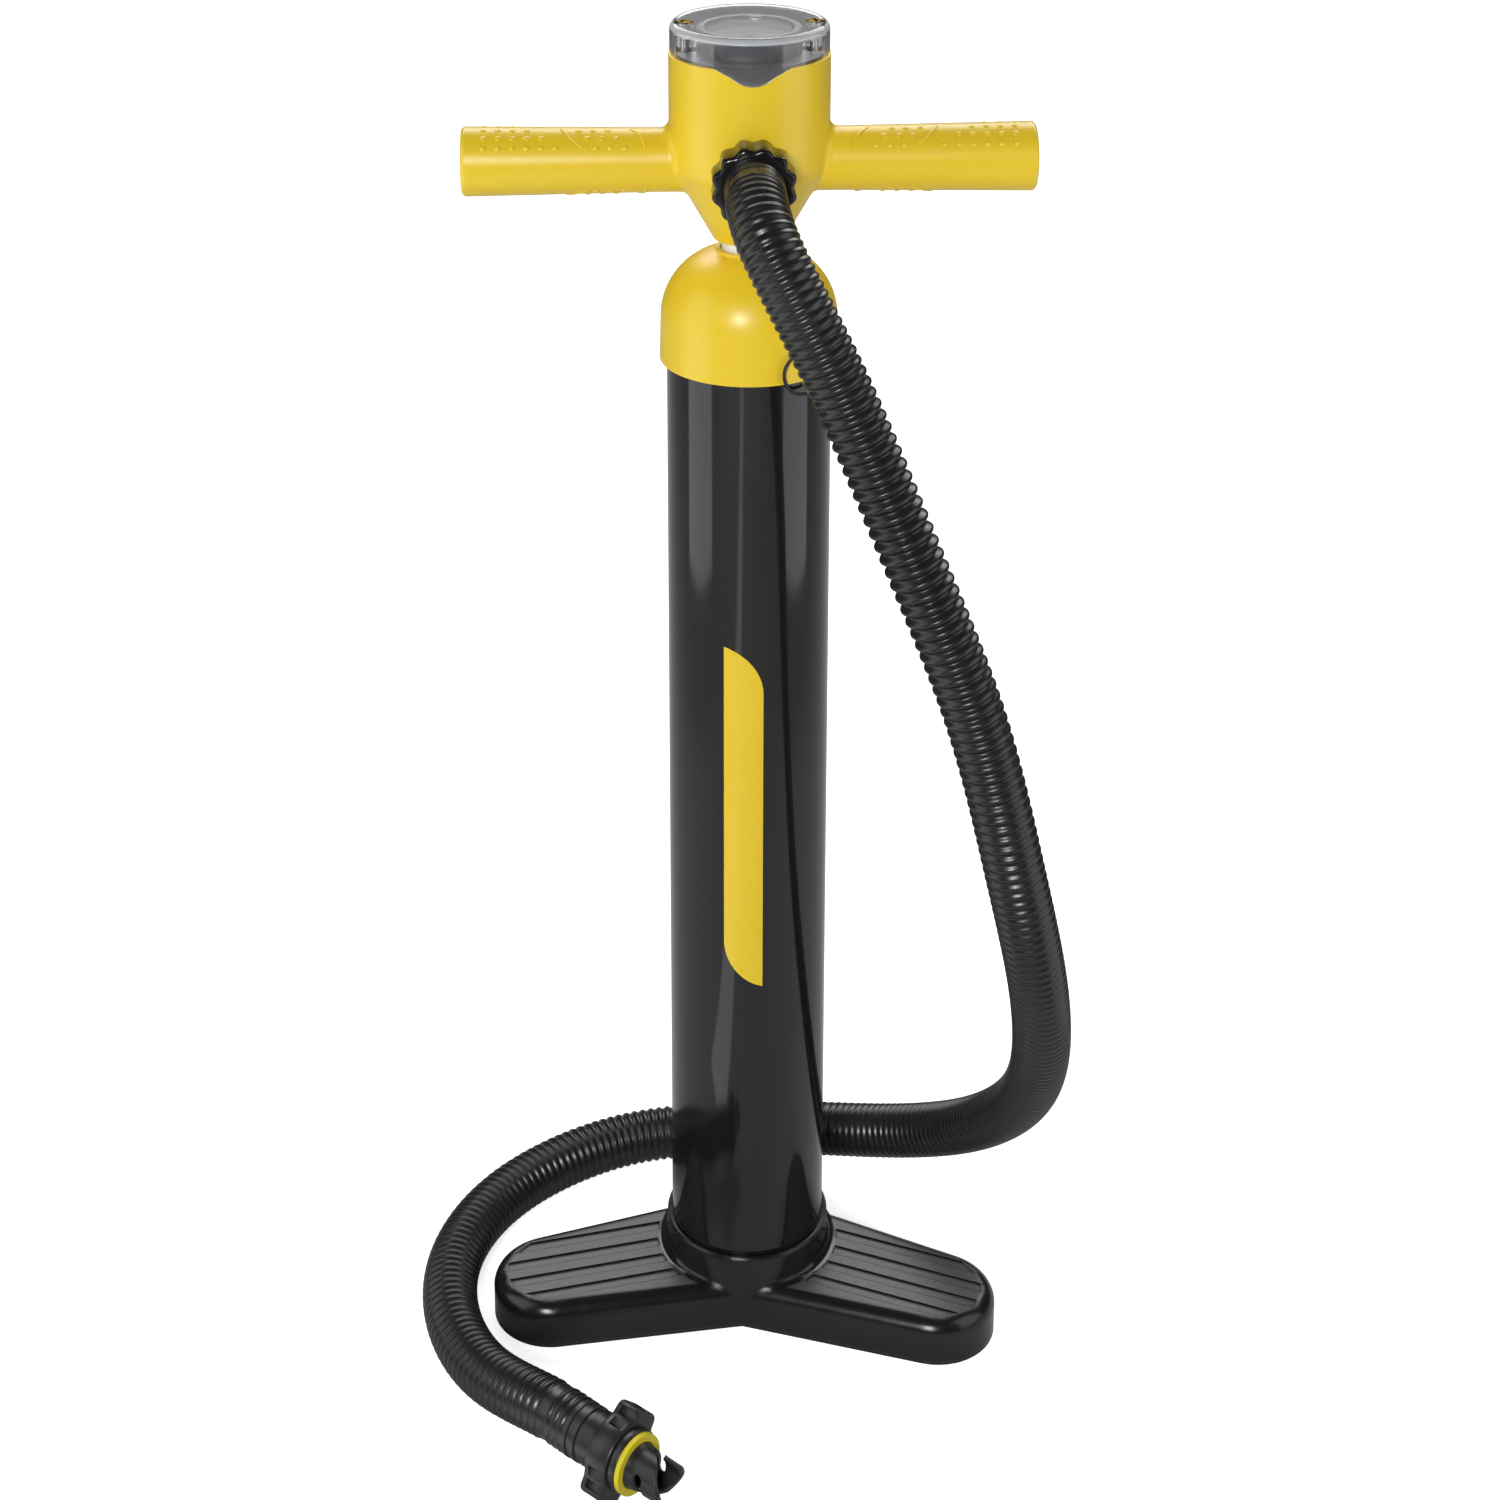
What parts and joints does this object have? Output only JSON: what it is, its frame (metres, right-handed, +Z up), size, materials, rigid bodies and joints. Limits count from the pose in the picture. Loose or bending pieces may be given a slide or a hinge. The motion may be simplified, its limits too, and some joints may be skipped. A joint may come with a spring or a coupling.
{
  "type": "stand-up double-action hand pump",
  "caption": "Upright air pump for inflatables: barrel on a two-footed base, T handle with gauge on a hollow rod, corrugated hose with bayonet valve adapter.",
  "frame": {"origin": "on the floor, below the axis of the barrel", "axes": "+Z up along the barrel, +X to the right of a person looking at the hose port, front (hose port) at -Y"},
  "size_m": [0.3004, 0.2755, 0.6267],
  "materials": {
    "black_gloss": "glossy black moulded ABS",
    "black_hose": "flexible black polyethylene, semi-gloss",
    "black_moulding": "satin black moulded nylon",
    "yellow_satin": "satin yellow moulded ABS",
    "yellow_sticker": "plain printed vinyl sticker",
    "yellow_rubber": "soft yellow gasket rubber",
    "black_rubber": "black seal rubber",
    "white_plastic": "white rod plastic, smooth",
    "natural_plastic": "natural acetal, smooth",
    "grey_plastic": "dark grey moulded plastic",
    "clear_plastic": "clear polycarbonate",
    "dial_print": "printed grey dial",
    "steel": "zinc-plated steel screws",
    "brass": "turned brass"
  },
  "bodies": {
    "barrel": {"foot_base": "black_gloss", "barrel_tube": "black_gloss", "barrel_plug": "black_moulding", "plug_seal": "black_rubber", "cap_seal": "black_rubber", "base_screws": "steel", "barrel_label": "yellow_sticker", "top_cap": "yellow_satin", "rod_guide": "natural_plastic", "rod_seal": "black_rubber", "seal_retainer": "natural_plastic", "plug_tether": "black_rubber"},
    "selector_plug": {"selector_plug": "black_moulding"},
    "hose_end": {"hose_cuff": "black_moulding"},
    "valve_adapter": {"wing_collar": "black_moulding", "bayonet_nozzle": "black_moulding", "adapter_gasket": "yellow_rubber", "swivel_seal": "black_rubber"},
    "handle": {"handle_head": "yellow_satin", "piston_rod": "white_plastic", "inner_air_tube": "natural_plastic", "piston_body": "natural_plastic", "piston_seal_lower": "black_rubber", "piston_seal_upper": "black_rubber", "valve_retainer": "natural_plastic", "piston_screws": "steel", "port_seal": "black_rubber", "hose_tail": "black_moulding", "hose": "black_hose", "gauge_insert": "grey_plastic", "gauge_case": "grey_plastic", "gauge_stem": "brass", "gauge_capsule": "brass", "gauge_dial": "dial_print", "gauge_glass": "clear_plastic", "gauge_lens": "clear_plastic", "lens_screws": "steel"},
    "hose_nut": {"hose_nut": "black_gloss"},
    "gauge_needle": {"gauge_needle": "black_moulding", "needle_spindle": "steel"},
    "piston_valve": {"piston_valve": "black_rubber"},
    "head_valve": {"head_valve": "black_rubber"}
  },
  "joints": [
    {"name": "handle_swivel", "type": "hinge", "parent": "barrel", "child": "hose_end", "pos_m": [0, 0, 0.5], "axis": [0, 0, 1], "range_deg": [-20, 20]},
    {"name": "pump_stroke", "type": "slide", "parent": "hose_end", "child": "handle", "axis": [0, 0, 1], "range_m": [0, 0.42], "deforming": ["hose"]},
    {"name": "selector_pull", "type": "slide", "parent": "barrel", "child": "selector_plug", "axis": [0.7314, -0.682, 0], "range_m": [0, 0.012]},
    {"name": "adapter_twist", "type": "hinge", "parent": "hose_end", "child": "valve_adapter", "pos_m": [-0.0658, -0.1346, 0.022], "axis": [0.8059, -0.592, 0], "range_deg": [-90, 90]},
    {"name": "nut_turn", "type": "hinge", "parent": "handle", "child": "hose_nut", "pos_m": [0, 0, 0.5675], "axis": [0.1011, -0.9949, 0], "range_deg": [-30, 360]},
    {"name": "needle_sweep", "type": "hinge", "parent": "handle", "child": "gauge_needle", "pos_m": [0, 0, 0.617], "axis": [0, 0, -1], "range_deg": [0, 264]},
    {"name": "piston_valve_lift", "type": "slide", "parent": "handle", "child": "piston_valve", "axis": [0, 0, 1], "range_m": [0, 0.0015]},
    {"name": "head_valve_lift", "type": "slide", "parent": "handle", "child": "head_valve", "axis": [0, 0, 1], "range_m": [0, 0.002]}
  ]
}
